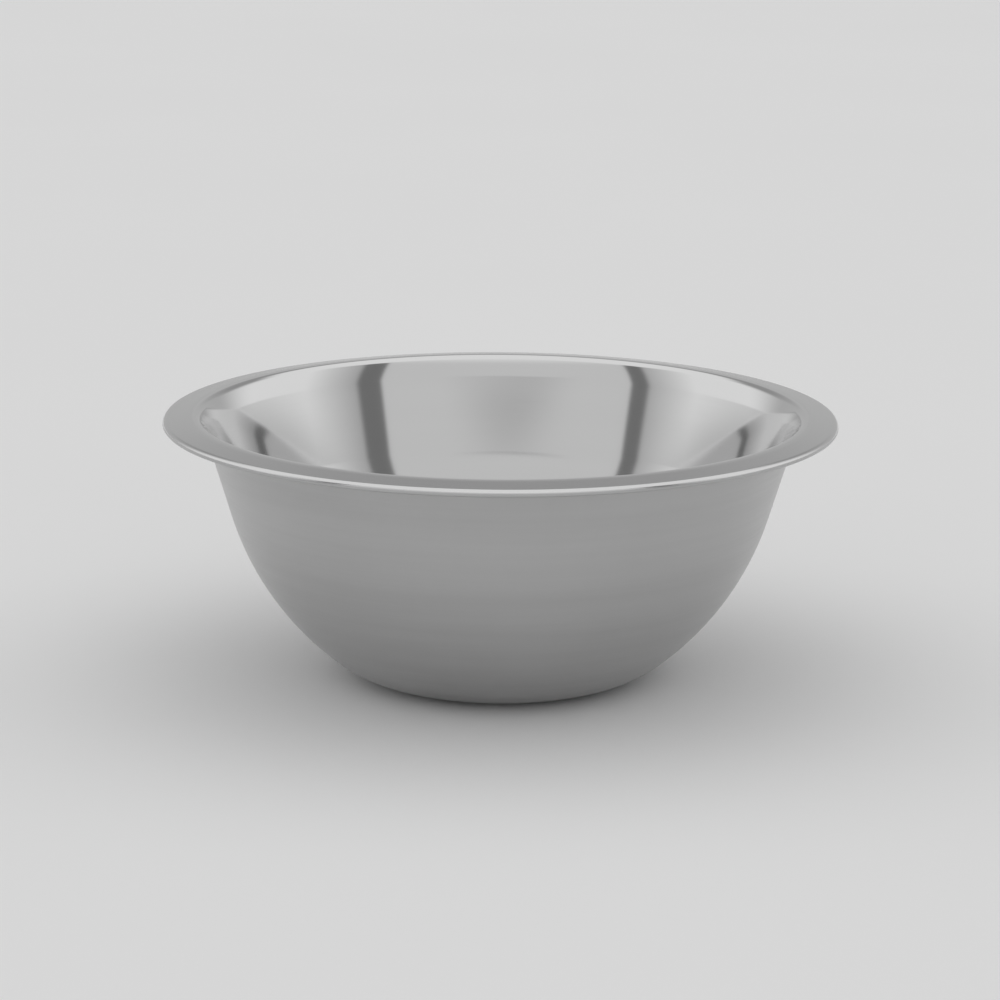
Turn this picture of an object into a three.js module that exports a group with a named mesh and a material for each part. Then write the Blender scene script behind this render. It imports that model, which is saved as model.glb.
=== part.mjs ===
// A mixing bowl pressed from one round blank of thin stainless steel.
// Millimetres, +Z up. The origin is the centre of the flat base, where the bowl stands.
// The rest of the shape is one sheet, followed from the middle of the base to its raw edge: flat base,
// base corner, round wall, straight upper wall, shoulder, throat, sloping flange and rolled edge.
import * as THREE from 'three';

// Overall size
const RIM_RADIUS = 100;
const HEIGHT = 79.5;
const SHEET = 0.5;

// Flat that the bowl stands on
const BASE_RADIUS = 32;

// Radii of the bends, measured at the middle of the sheet's thickness
const CORNER_RADIUS = 29.7;
const WALL_RADIUS = 87;
const SHOULDER_RADIUS = 33;
const THROAT_RADIUS = 2;
const CREST_RADIUS = 20;
const TURN_RADIUS = 1.15;
const CURL_RADIUS = 0.45;

// The sheet's slope above horizontal, in degrees, on the way out from the axis. It is level at the base
// and at the crest of the rim, and points straight down at the outside of the rolled edge.
const LEVEL = 0;
const CORNER_SLOPE = 38.2;
const WALL_SLOPE = 73.3;
const SHOULDER_SLOPE = 63.5;
const FLANGE_SLOPE = -7;
const STRAIGHT_DOWN = -90;
const RAW_END_SLOPE = -267;

// Facets
const AROUND = 64;
const CORNER_STEPS = 6;
const WALL_STEPS = 8;
const SHOULDER_STEPS = 3;
const THROAT_STEPS = 5;
const CREST_STEPS = 1;
const TURN_STEPS = 4;
const CURL_STEPS = 5;

const sin = (degrees) => Math.sin(THREE.MathUtils.degToRad(degrees));
const cos = (degrees) => Math.cos(THREE.MathUtils.degToRad(degrees));

// Length of the straight upper wall that brings the crest of the rim to HEIGHT
function wallLength() {
  const cornerRise = CORNER_RADIUS * (1 - cos(CORNER_SLOPE));
  const wallRise = WALL_RADIUS * (cos(CORNER_SLOPE) - cos(WALL_SLOPE));
  const shoulderRise = SHOULDER_RADIUS * (cos(SHOULDER_SLOPE) - cos(WALL_SLOPE));
  const throatRise = THROAT_RADIUS * (1 - cos(SHOULDER_SLOPE));
  const bendsRise = cornerRise + wallRise + shoulderRise + throatRise;
  return (HEIGHT - SHEET - bendsRise) / sin(WALL_SLOPE);
}

// Width of the flange, along its slope, that brings the outside of the rolled edge to RIM_RADIUS
function flangeWidth(flangeStartRadius) {
  const turnReach = TURN_RADIUS * (1 + sin(FLANGE_SLOPE)) + SHEET / 2;
  return (RIM_RADIUS - turnReach - flangeStartRadius) / cos(FLANGE_SLOPE);
}

// Stations along the middle of the sheet. Each holds its radius, its height and the sheet's slope there.
function sheetLine() {
  const stations = [{ r: 0, z: SHEET / 2, slope: 0 }];
  const last = () => stations[stations.length - 1];

  function straight(length) {
    const { r, z, slope } = last();
    stations.push({ r: r + length * cos(slope), z: z + length * sin(slope), slope });
  }

  // Bends up where the new slope is the greater one, and down otherwise
  function bendTo(slope, radius, steps) {
    const start = last();
    const side = Math.sign(slope - start.slope) * radius;
    for (let i = 1; i <= steps; i += 1) {
      const here = start.slope + ((slope - start.slope) * i) / steps;
      const r = start.r + side * (sin(here) - sin(start.slope));
      const z = start.z + side * (cos(start.slope) - cos(here));
      stations.push({ r, z, slope: here });
    }
  }

  straight(BASE_RADIUS);
  bendTo(CORNER_SLOPE, CORNER_RADIUS, CORNER_STEPS);
  bendTo(WALL_SLOPE, WALL_RADIUS, WALL_STEPS);
  straight(wallLength());
  bendTo(SHOULDER_SLOPE, SHOULDER_RADIUS, SHOULDER_STEPS);
  bendTo(LEVEL, THROAT_RADIUS, THROAT_STEPS);
  bendTo(FLANGE_SLOPE, CREST_RADIUS, CREST_STEPS);
  straight(flangeWidth(last().r));
  bendTo(STRAIGHT_DOWN, TURN_RADIUS, TURN_STEPS);
  bendTo(RAW_END_SLOPE, CURL_RADIUS, CURL_STEPS);
  return stations;
}

// Points on one face of the sheet: side -1 is the outside of the bowl, +1 the inside
function sheetFace(stations, side) {
  const offset = (side * SHEET) / 2;
  return stations.map(
    ({ r, z, slope }) => new THREE.Vector2(r - offset * sin(slope), z + offset * cos(slope)),
  );
}

// The whole bowl, turned about the axis from one closed outline
function bowl() {
  const stations = sheetLine();
  const outline = [...sheetFace(stations, -1), ...sheetFace(stations, 1).reverse()];
  const geometry = new THREE.LatheGeometry(outline, AROUND);
  geometry.rotateX(Math.PI / 2);
  const steel = new THREE.MeshStandardMaterial({
    color: 0xb4b4b2,
    metalness: 1,
    roughness: 0.3,
  });
  const mesh = new THREE.Mesh(geometry, steel);
  mesh.name = 'bowl';
  return mesh;
}

const mixingBowl = new THREE.Group();
mixingBowl.name = 'mixing_bowl';
mixingBowl.add(bowl());

export default mixingBowl;
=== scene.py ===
import math

import bpy
from mathutils import Matrix, Vector


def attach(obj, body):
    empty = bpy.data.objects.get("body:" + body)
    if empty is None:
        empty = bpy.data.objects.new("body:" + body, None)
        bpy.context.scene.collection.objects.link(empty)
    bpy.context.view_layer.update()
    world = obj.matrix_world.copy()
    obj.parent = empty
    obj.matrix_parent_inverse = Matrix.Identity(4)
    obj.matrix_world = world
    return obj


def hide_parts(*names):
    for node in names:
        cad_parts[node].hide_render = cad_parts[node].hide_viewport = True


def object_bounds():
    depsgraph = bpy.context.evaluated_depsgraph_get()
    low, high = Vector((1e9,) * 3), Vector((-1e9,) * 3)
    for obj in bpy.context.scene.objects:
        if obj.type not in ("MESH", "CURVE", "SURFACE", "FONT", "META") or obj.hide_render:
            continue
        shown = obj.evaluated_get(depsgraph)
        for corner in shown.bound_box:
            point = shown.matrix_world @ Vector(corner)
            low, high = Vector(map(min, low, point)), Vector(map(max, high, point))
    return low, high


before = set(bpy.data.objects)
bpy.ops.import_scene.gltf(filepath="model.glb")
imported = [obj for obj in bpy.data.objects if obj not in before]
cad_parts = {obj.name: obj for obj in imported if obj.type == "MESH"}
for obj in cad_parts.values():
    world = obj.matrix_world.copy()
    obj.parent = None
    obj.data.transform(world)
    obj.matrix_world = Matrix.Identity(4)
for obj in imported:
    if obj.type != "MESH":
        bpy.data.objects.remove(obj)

# The bowl's own box, in metres. The rim's radius and the height come from it.
CAD_LOW, CAD_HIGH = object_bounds()
RIM_RADIUS = CAD_HIGH.x
HEIGHT = CAD_HIGH.z

# The pressed sheet, in metres and degrees. Bends are measured at the middle of its thickness, and slopes
# are above horizontal on the way out from the axis.
MM = 0.001
SHEET = 0.5 * MM
BASE_RADIUS = 32 * MM
CORNER_RADIUS = 29.7 * MM
WALL_RADIUS = 87 * MM
SHOULDER_RADIUS = 33 * MM
THROAT_RADIUS = 2.0 * MM
CREST_RADIUS = 20 * MM
TURN_RADIUS = 1.15 * MM
CURL_RADIUS = 0.45 * MM
LEVEL = 0
CORNER_SLOPE = 38.2
WALL_SLOPE = 73.3
SHOULDER_SLOPE = 63.5
FLANGE_SLOPE = -7
STRAIGHT_DOWN = -90
RAW_END_SLOPE = -267

# Slope at which the rolled edge changes from the rim's finish to the outside's. Past it the edge's
# underside takes the outside's darker colour as painted shade under the rolled edge, along with the
# outside's rougher finish.
PAINTED_SHADE_SLOPE = -66

# How finely the surface is divided
AROUND = 256
BASE_STEPS = 10
CORNER_STEPS = 16
WALL_STEPS = 30
STRAIGHT_STEPS = 10
SHOULDER_STEPS = 8
THROAT_STEPS = 12
CREST_STEPS = 4
FLANGE_STEPS = 4
TURN_STEPS = 10
CURL_STEPS = 12
RAW_END_STEPS = 6

# Finishes, in the order of the mesh's material slots. unevenness is the share by which the tone varies
# either way. grain is how far the fine lines change the roughness either way, and it scales the height of
# all the lines too. ripple is the height of the sheet's slow waves.
OUTSIDE, RIM, INSIDE = range(3)
FINISHES = (
    {
        "name": "steel_outside",
        # The outside's colour is darker than the inside's partly for its satin finish and partly as painted
        # shade: it stands in for the darker floor that the outside reflects.
        "colour": 0.52,
        "unevenness": 0.04,
        "roughness": 0.36,
        "grain": 0.03,
        "ripple": 0.02 * MM,
        "anisotropy": 0.75,
    },
    {
        "name": "steel_rim",
        "colour": 0.68,
        "unevenness": 0.01,
        "roughness": 0.16,
        "grain": 0.02,
        "ripple": 0.01 * MM,
        "anisotropy": 0.3,
    },
    {
        "name": "steel_inside",
        "colour": 0.70,
        "unevenness": 0.01,
        "roughness": 0.085,
        "grain": 0.005,
        "ripple": 0.01 * MM,
        "anisotropy": 0.2,
    },
)

# The marks in the steel. A pitch is across the lines, and a stroke is a line's length round the axis in
# radians. Smudges and waves have a noise scale, in marks per metre.
FINE_STROKE, FINE_PITCH = 0.25, 0.35 * MM
BROAD_STROKE, BROAD_PITCH = 1.2, 1.6 * MM
BAND_STROKE, BAND_PITCH = 1.5, 9.0 * MM
SMUDGE_SCALE, WAVE_SCALE = 22.0, 9.0
LINE_HEIGHT = 0.02 * MM
QUARTER_TURN = 0.25

# The part of each noise, which runs from 0 to 1, that is used, and how much each kind of mark counts
NOISE_LOW, NOISE_HIGH = 0.3, 0.7
SMUDGE_LOW, SMUDGE_HIGH = 0.35, 0.65
TONE_FROM_BANDS, TONE_FROM_LINES, TONE_FROM_SMUDGES = 0.6, 0.2, 0.2
ROUGHNESS_FROM_SMUDGES = 0.08


def sin(degrees):
    return math.sin(math.radians(degrees))


def cos(degrees):
    return math.cos(math.radians(degrees))


# ---------------------------------------------------------------- shape

def wall_length():
    """The straight upper wall that brings the crest of the rim to HEIGHT."""
    corner_rise = CORNER_RADIUS * (1 - cos(CORNER_SLOPE))
    wall_rise = WALL_RADIUS * (cos(CORNER_SLOPE) - cos(WALL_SLOPE))
    shoulder_rise = SHOULDER_RADIUS * (cos(SHOULDER_SLOPE) - cos(WALL_SLOPE))
    throat_rise = THROAT_RADIUS * (1 - cos(SHOULDER_SLOPE))
    bends_rise = corner_rise + wall_rise + shoulder_rise + throat_rise
    return (HEIGHT - SHEET - bends_rise) / sin(WALL_SLOPE)


def flange_width(start_radius):
    """The flange that brings the outside of the rolled edge to RIM_RADIUS."""
    turn_reach = TURN_RADIUS * (1 + sin(FLANGE_SLOPE)) + SHEET / 2
    return (RIM_RADIUS - turn_reach - start_radius) / cos(FLANGE_SLOPE)


def sheet_line():
    """Stations along the middle of the sheet, from the axis to the raw edge.

    Each is (radius, height, slope, is_rim).
    """
    line = [(0.0, SHEET / 2, 0.0, False)]

    def straight(length, steps, is_rim=False):
        r, z, slope, _ = line[-1]
        for i in range(1, steps + 1):
            along = length * i / steps
            line.append((r + along * cos(slope), z + along * sin(slope), slope, is_rim))

    def bend_to(slope, radius, steps, is_rim=False):
        r, z, start, _ = line[-1]
        side = math.copysign(radius, slope - start)
        for i in range(1, steps + 1):
            here = start + (slope - start) * i / steps
            across = side * (sin(here) - sin(start))
            up = side * (cos(start) - cos(here))
            line.append((r + across, z + up, here, is_rim))

    straight(BASE_RADIUS, BASE_STEPS)
    bend_to(CORNER_SLOPE, CORNER_RADIUS, CORNER_STEPS)
    bend_to(WALL_SLOPE, WALL_RADIUS, WALL_STEPS)
    straight(wall_length(), STRAIGHT_STEPS)
    bend_to(SHOULDER_SLOPE, SHOULDER_RADIUS, SHOULDER_STEPS)
    bend_to(LEVEL, THROAT_RADIUS, THROAT_STEPS)
    bend_to(FLANGE_SLOPE, CREST_RADIUS, CREST_STEPS, True)
    straight(flange_width(line[-1][0]), FLANGE_STEPS, True)
    bend_to(STRAIGHT_DOWN, TURN_RADIUS, TURN_STEPS, True)
    bend_to(RAW_END_SLOPE, CURL_RADIUS, CURL_STEPS)
    return line


def outline():
    """The sheet's closed section, from the axis on the underside round to the axis on the inside.

    Each point is (radius, height, normal, finish).
    """
    line = sheet_line()

    def offset(station, angle, finish):
        """A point half the sheet's thickness from the middle, where angle is the normal's own direction."""
        r, z = station[0], station[1]
        normal = (cos(angle), sin(angle))
        return (r + SHEET / 2 * normal[0], z + SHEET / 2 * normal[1], normal, finish)

    points = [offset(s, s[2] - 90, OUTSIDE) for s in line]
    end = line[-1]
    for i in range(1, RAW_END_STEPS):
        points.append(offset(end, end[2] - 90 + 180 * i / RAW_END_STEPS, OUTSIDE))
    for s in reversed(line):
        finish = RIM if s[3] else INSIDE
        # Past this slope the rolled edge's underside takes the outside's material, whose darker colour
        # paints shade under the edge.
        if s[2] < PAINTED_SHADE_SLOPE:
            finish = OUTSIDE
        points.append(offset(s, s[2] + 90, finish))
    return points


def lathe(name, points, around):
    """A closed mesh of revolution with exact normals, a material for each band, and a strip unwrap."""
    last = len(points) - 1
    verts, normals, rings = [], [], []
    for i, (r, z, (across, up), _) in enumerate(points):
        count = 1 if i in (0, last) else around
        rings.append([len(verts) + j for j in range(count)] * (around // count))
        for j in range(count):
            c, s = cos(360 * j / around), sin(360 * j / around)
            verts.append((r * c if count > 1 else 0, r * s if count > 1 else 0, z))
            normals.append((across * c, across * s, up) if count > 1 else (0, 0, up))

    along = [0.0]
    for a, b in zip(points, points[1:]):
        along.append(along[-1] + math.hypot(b[0] - a[0], b[1] - a[1]))

    faces, bands, uvs = [], [], []
    for i in range(last):
        low, high = along[i] / along[-1], along[i + 1] / along[-1]
        for j in range(around):
            k = (j + 1) % around
            left, middle, right = j / around, (j + 0.5) / around, (j + 1) / around
            if i == 0:
                faces.append((rings[0][0], rings[1][k], rings[1][j]))
                uvs += [(middle, low), (right, high), (left, high)]
            elif i == last - 1:
                faces.append((rings[i][j], rings[i][k], rings[last][0]))
                uvs += [(left, low), (right, low), (middle, high)]
            else:
                faces.append((rings[i][j], rings[i][k], rings[i + 1][k], rings[i + 1][j]))
                uvs += [(left, low), (right, low), (right, high), (left, high)]
            bands.append(points[i + 1][3])

    mesh = bpy.data.meshes.new(name)
    mesh.from_pydata(verts, [], faces)
    mesh.polygons.foreach_set("material_index", bands)
    mesh.polygons.foreach_set("use_smooth", [True] * len(faces))
    layer = mesh.uv_layers.new(name="OFBake")
    layer.data.foreach_set("uv", [value for uv in uvs for value in uv])
    mesh.normals_split_custom_set_from_vertices(normals)
    mesh.validate()
    return mesh


# ---------------------------------------------------------------- node helpers

class Nodes:
    """Short calls for building one node tree."""

    def __init__(self, tree):
        self.tree = tree
        tree.nodes.clear()

    def add(self, kind, inputs=(), **settings):
        node = self.tree.nodes.new(kind)
        for key, value in settings.items():
            setattr(node, key, value)
        for key, value in dict(inputs).items():
            if isinstance(value, bpy.types.NodeSocket):
                self.tree.links.new(value, node.inputs[key])
            else:
                node.inputs[key].default_value = value
        return node

    def maths(self, operation, a, b=0.0):
        return self.add("ShaderNodeMath", {0: a, 1: b}, operation=operation).outputs[0]

    def vector(self, operation, a, b=(0, 0, 0)):
        node = self.add("ShaderNodeVectorMath", {0: a, 1: b}, operation=operation)
        return node.outputs["Value" if operation == "LENGTH" else "Vector"]

    def remap(self, value, low, high, to_low, to_high, smooth=False):
        inputs = {"Value": value, "From Min": low, "From Max": high, "To Min": to_low, "To Max": to_high}
        kind = "SMOOTHSTEP" if smooth else "LINEAR"
        return self.add("ShaderNodeMapRange", inputs, interpolation_type=kind).outputs["Result"]

    def noise(self, vector, scale, detail=2.0, distortion=0.0):
        inputs = {"Vector": vector, "Scale": scale, "Detail": detail, "Distortion": distortion}
        return self.add("ShaderNodeTexNoise", inputs).outputs["Fac"]

    def mix_colour(self, factor, a, b):
        node = self.add("ShaderNodeMix", data_type="RGBA")
        for key, value in (("Factor", factor), ("A", a), ("B", b)):
            sockets = [s for s in node.inputs if s.name == key and s.enabled]
            if isinstance(value, bpy.types.NodeSocket):
                self.tree.links.new(value, sockets[0])
            else:
                sockets[0].default_value = value
        return [s for s in node.outputs if s.enabled][0]


def grey(value):
    return (value, value, value, 1)


# ---------------------------------------------------------------- steel

def spun_vector(nodes, stroke, pitch):
    """Coordinates that run round the axis: lines one pitch apart, each about stroke radians long."""
    place = nodes.add("ShaderNodeTexCoord").outputs["Object"]
    flat = nodes.vector("MULTIPLY", place, (1, 1, 0))
    round_axis = nodes.vector("SCALE", nodes.vector("NORMALIZE", flat))
    round_axis.node.inputs["Scale"].default_value = 1 / stroke
    height = nodes.add("ShaderNodeSeparateXYZ", {0: place}).outputs["Z"]
    out_and_up = nodes.maths("ADD", nodes.vector("LENGTH", flat), height)
    lines = nodes.add("ShaderNodeCombineXYZ", {"Z": nodes.maths("DIVIDE", out_and_up, pitch)}).outputs[0]
    return nodes.vector("ADD", round_axis, lines)


def steel(name, colour, unevenness, roughness, grain, ripple, anisotropy):
    """Stainless steel with fine spun lines, broad soft bands, smudges and a slow ripple of the sheet."""
    material = bpy.data.materials.new(name)
    material.use_nodes = True
    nodes = Nodes(material.node_tree)
    place = nodes.add("ShaderNodeTexCoord").outputs["Object"]

    fine_lines = nodes.noise(spun_vector(nodes, FINE_STROKE, FINE_PITCH), 1.0)
    broad_lines = nodes.noise(spun_vector(nodes, BROAD_STROKE, BROAD_PITCH), 1.0, detail=1.0)
    bands = nodes.noise(spun_vector(nodes, BAND_STROKE, BAND_PITCH), 1.0, detail=1.0)
    smudges = nodes.noise(place, SMUDGE_SCALE, detail=3.0, distortion=0.4)
    waves = nodes.noise(place, WAVE_SCALE, detail=0.0)

    smudged = ROUGHNESS_FROM_SMUDGES * roughness
    line_roughness = nodes.remap(fine_lines, NOISE_LOW, NOISE_HIGH, -grain, grain)
    smudge_roughness = nodes.remap(smudges, SMUDGE_LOW, SMUDGE_HIGH, -smudged, smudged)
    rough = nodes.maths("ADD", line_roughness, roughness)
    rough = nodes.maths("ADD", rough, smudge_roughness)

    band_tone = nodes.remap(bands, NOISE_LOW, NOISE_HIGH, 0, TONE_FROM_BANDS)
    line_tone = nodes.remap(broad_lines, NOISE_LOW, NOISE_HIGH, 0, TONE_FROM_LINES)
    smudge_tone = nodes.remap(smudges, NOISE_LOW, NOISE_HIGH, 0, TONE_FROM_SMUDGES)
    tone = nodes.maths("ADD", nodes.maths("ADD", band_tone, line_tone), smudge_tone)
    base = nodes.mix_colour(tone, grey(colour * (1 - unevenness)), grey(colour * (1 + unevenness)))

    lines_height = nodes.maths("MULTIPLY", nodes.maths("ADD", fine_lines, broad_lines), grain * LINE_HEIGHT)
    waves_height = nodes.maths("MULTIPLY", waves, ripple)
    height = nodes.maths("ADD", lines_height, waves_height)
    bump = nodes.add("ShaderNodeBump", {"Strength": 1.0, "Distance": 1.0, "Height": height}).outputs[0]

    shader = nodes.add(
        "ShaderNodeBsdfPrincipled",
        {
            "Base Color": base,
            "Metallic": 1.0,
            "Roughness": rough,
            "Anisotropic": anisotropy,
            "Anisotropic Rotation": QUARTER_TURN,
            "Normal": bump,
        },
    )
    output = nodes.add("ShaderNodeOutputMaterial")
    material.node_tree.links.new(shader.outputs[0], output.inputs["Surface"])
    return material


def make_bowl():
    """The whole bowl as one piece, in place of the plain CAD node."""
    mesh = lathe("mixing_bowl", outline(), AROUND)
    for finish in FINISHES:
        mesh.materials.append(steel(**finish))
    bowl = bpy.data.objects.new("mixing_bowl", mesh)
    bpy.context.scene.collection.objects.link(bowl)
    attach(bowl, "root")
    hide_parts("bowl")
    return bowl


# ---------------------------------------------------------------- studio

FLOOR_RADIUS = 6.0
FLOOR_RINGS = 24
FLOOR_AROUND = 64
FLOOR_DARK, FLOOR_LIGHT = 0.84, 0.86
FLOOR_MARKS_SCALE = 3.0
FLOOR_ROUGHNESS, FLOOR_SPECULAR = 0.9, 0.2

# Where the studio's panels stand round the bowl, in degrees of azimuth: 0 is the camera's side, and +90 is
# +X. BOX_LOWER_EDGE is the elevation of a softbox's straight lower edge where the box faces the bowl. The
# SOFT values are how far a panel's edge fades either way: in degrees, and EDGE_SOFT as a sine.
SCRIM_FROM, SCRIM_TO = -56.5, 51.5
LEFT_BOX_FROM, RIGHT_BOX_FROM = -64.5, 62.5
BOX_FACES = 55
BOX_LOWER_EDGE = 14.9
BOX_MIDDLE_FROM, BOX_MIDDLE_AT = 64, 88
BOX_FADES, BOX_ENDS = 118, 146
SCRIM_SOFT, BOX_SOFT = 1, 1.5
EDGE_SOFT = 0.012

# Brightness of each panel. The back wall and the overhead light change with elevation, in degrees. The
# camera's stand darkens an ellipse of the scrim, whose middle and half sizes are in degrees too.
GAP = 0.20
SCRIM = 0.69
WALL = 0.50
BACK_HIGH = 0.35
BACK_LOW_AT, BACK_HIGH_AT = 14, 28
BOX_EDGE, BOX_MIDDLE = 0.50, 0.92
OVERHEAD = 0.92
OVERHEAD_STARTS, OVERHEAD_FULL = 36, 45
STAND_DARKENS = 0.48
STAND_AZIMUTH, STAND_HALF_WIDTH = -5, 35
STAND_ELEVATION, STAND_HALF_HEIGHT = 21.7, 0.9


def studio_light():
    """Plain panels all round the bowl.

    They are a grey wall, a scrim behind the camera with a dark gap at each end of it and the camera's stand
    in front, a softbox on each side, and a wide soft light overhead.
    """
    world = bpy.data.worlds.new("studio")
    bpy.context.scene.world = world
    world.use_nodes = True
    nodes = Nodes(world.node_tree)
    direction = nodes.add("ShaderNodeTexCoord").outputs["Generated"]
    x, y, z = nodes.add("ShaderNodeSeparateXYZ", {0: direction}).outputs
    to_degrees = 180 / math.pi
    azimuth = nodes.maths("MULTIPLY", nodes.maths("ARCTAN2", x, nodes.maths("MULTIPLY", y, -1)), to_degrees)
    elevation = nodes.maths("MULTIPLY", nodes.maths("ARCSINE", z), to_degrees)
    aside = nodes.maths("ABSOLUTE", azimuth)

    def rise(value, low, high):
        return nodes.remap(value, low, high, 0.0, 1.0, True)

    def blend(mask, below, above):
        """below where the mask is 0, above where it is 1."""
        difference = nodes.maths("SUBTRACT", above, below)
        return nodes.maths("ADD", below, nodes.maths("MULTIPLY", mask, difference))

    across = nodes.maths("DIVIDE", nodes.maths("SUBTRACT", azimuth, STAND_AZIMUTH), STAND_HALF_WIDTH)
    up = nodes.maths("DIVIDE", nodes.maths("SUBTRACT", elevation, STAND_ELEVATION), STAND_HALF_HEIGHT)
    squares = nodes.maths("ADD", nodes.maths("MULTIPLY", across, across), nodes.maths("MULTIPLY", up, up))
    clear_of_stand = rise(nodes.maths("SQRT", squares), 0.0, 1.0)
    scrim = blend(clear_of_stand, SCRIM * (1 - STAND_DARKENS), SCRIM)

    facing_x = nodes.maths("MULTIPLY", nodes.maths("ABSOLUTE", x), sin(BOX_FACES))
    facing_y = nodes.maths("MULTIPLY", y, -cos(BOX_FACES))
    towards_box = nodes.maths("ADD", facing_x, facing_y)
    lower_edge = nodes.maths("MULTIPLY", towards_box, math.tan(math.radians(BOX_LOWER_EDGE)))
    over_edge = rise(nodes.maths("SUBTRACT", z, lower_edge), -EDGE_SOFT, EDGE_SOFT)
    box_face = nodes.remap(aside, BOX_MIDDLE_FROM, BOX_MIDDLE_AT, BOX_EDGE, BOX_MIDDLE)
    box = blend(over_edge, WALL, box_face)
    back = nodes.remap(elevation, BACK_LOW_AT, BACK_HIGH_AT, WALL, BACK_HIGH)

    brightness = blend(rise(azimuth, SCRIM_FROM - SCRIM_SOFT, SCRIM_FROM + SCRIM_SOFT), GAP, scrim)
    brightness = blend(rise(azimuth, SCRIM_TO - SCRIM_SOFT, SCRIM_TO + SCRIM_SOFT), brightness, GAP)
    brightness = blend(rise(azimuth, RIGHT_BOX_FROM - BOX_SOFT, RIGHT_BOX_FROM + BOX_SOFT), brightness, box)
    brightness = blend(rise(azimuth, LEFT_BOX_FROM - BOX_SOFT, LEFT_BOX_FROM + BOX_SOFT), box, brightness)
    brightness = blend(rise(aside, BOX_FADES, BOX_ENDS), brightness, back)
    brightness = blend(rise(elevation, OVERHEAD_STARTS, OVERHEAD_FULL), brightness, OVERHEAD)

    background = nodes.add("ShaderNodeBackground", {"Color": brightness, "Strength": 1.0})
    output = nodes.add("ShaderNodeOutputWorld")
    world.node_tree.links.new(background.outputs[0], output.inputs["Surface"])


def studio_floor():
    """A pale round floor under the bowl, with rings that are closer together towards the middle."""
    verts = [(0, 0, 0)]
    faces = []
    for ring in range(1, FLOOR_RINGS + 1):
        radius = FLOOR_RADIUS * (ring / FLOOR_RINGS) ** 2
        start = len(verts)
        for j in range(FLOOR_AROUND):
            turn = 360 * j / FLOOR_AROUND
            verts.append((radius * cos(turn), radius * sin(turn), 0))
        for j in range(FLOOR_AROUND):
            k = (j + 1) % FLOOR_AROUND
            if ring == 1:
                faces.append((0, start + j, start + k))
            else:
                inner = start - FLOOR_AROUND
                faces.append((inner + j, start + j, start + k, inner + k))
    mesh = bpy.data.meshes.new("floor")
    mesh.from_pydata(verts, [], faces)
    floor = bpy.data.objects.new("floor", mesh)
    bpy.context.scene.collection.objects.link(floor)
    material = bpy.data.materials.new("floor_paint")
    material.use_nodes = True
    nodes = Nodes(material.node_tree)
    place = nodes.add("ShaderNodeTexCoord").outputs["Object"]
    colour = nodes.mix_colour(nodes.noise(place, FLOOR_MARKS_SCALE), grey(FLOOR_DARK), grey(FLOOR_LIGHT))
    shader = nodes.add("ShaderNodeBsdfPrincipled", {"Base Color": colour, "Roughness": FLOOR_ROUGHNESS})
    shader.inputs["Specular IOR Level"].default_value = FLOOR_SPECULAR
    output = nodes.add("ShaderNodeOutputMaterial")
    material.node_tree.links.new(shader.outputs[0], output.inputs["Surface"])
    mesh.materials.append(material)


def photo_camera():
    """A long lens a metre from the middle of the rim, looking down at it by about 12 degrees.

    The rim's height is taken near the middle of its rolled edge.
    """
    distance = 1.0
    elevation = 11.86
    roll = 0.4
    aim_height = 0.66 * HEIGHT
    rim_height = HEIGHT - 1.75 * MM
    data = bpy.data.cameras.new("camera")
    data.sensor_width = 36
    data.lens = 121.1
    data.clip_start = 0.01
    data.clip_end = 50
    camera = bpy.data.objects.new("camera", data)
    bpy.context.scene.collection.objects.link(camera)
    camera.location = (0, -distance * cos(elevation), rim_height + distance * sin(elevation))
    aim = Vector((0, 0, aim_height)) - camera.location
    turn = aim.to_track_quat("-Z", "Y").to_matrix().to_4x4()
    camera.rotation_euler = (turn @ Matrix.Rotation(math.radians(roll), 4, "Z")).to_euler()
    bpy.context.scene.camera = camera


photo_camera()
studio_light()
studio_floor()
make_bowl()
bpy.context.scene.view_settings.view_transform = "Standard"

# Some reflections at the ends of the rim cross the bowl many times before they leave it
bpy.context.scene.cycles.glossy_bounces = 12
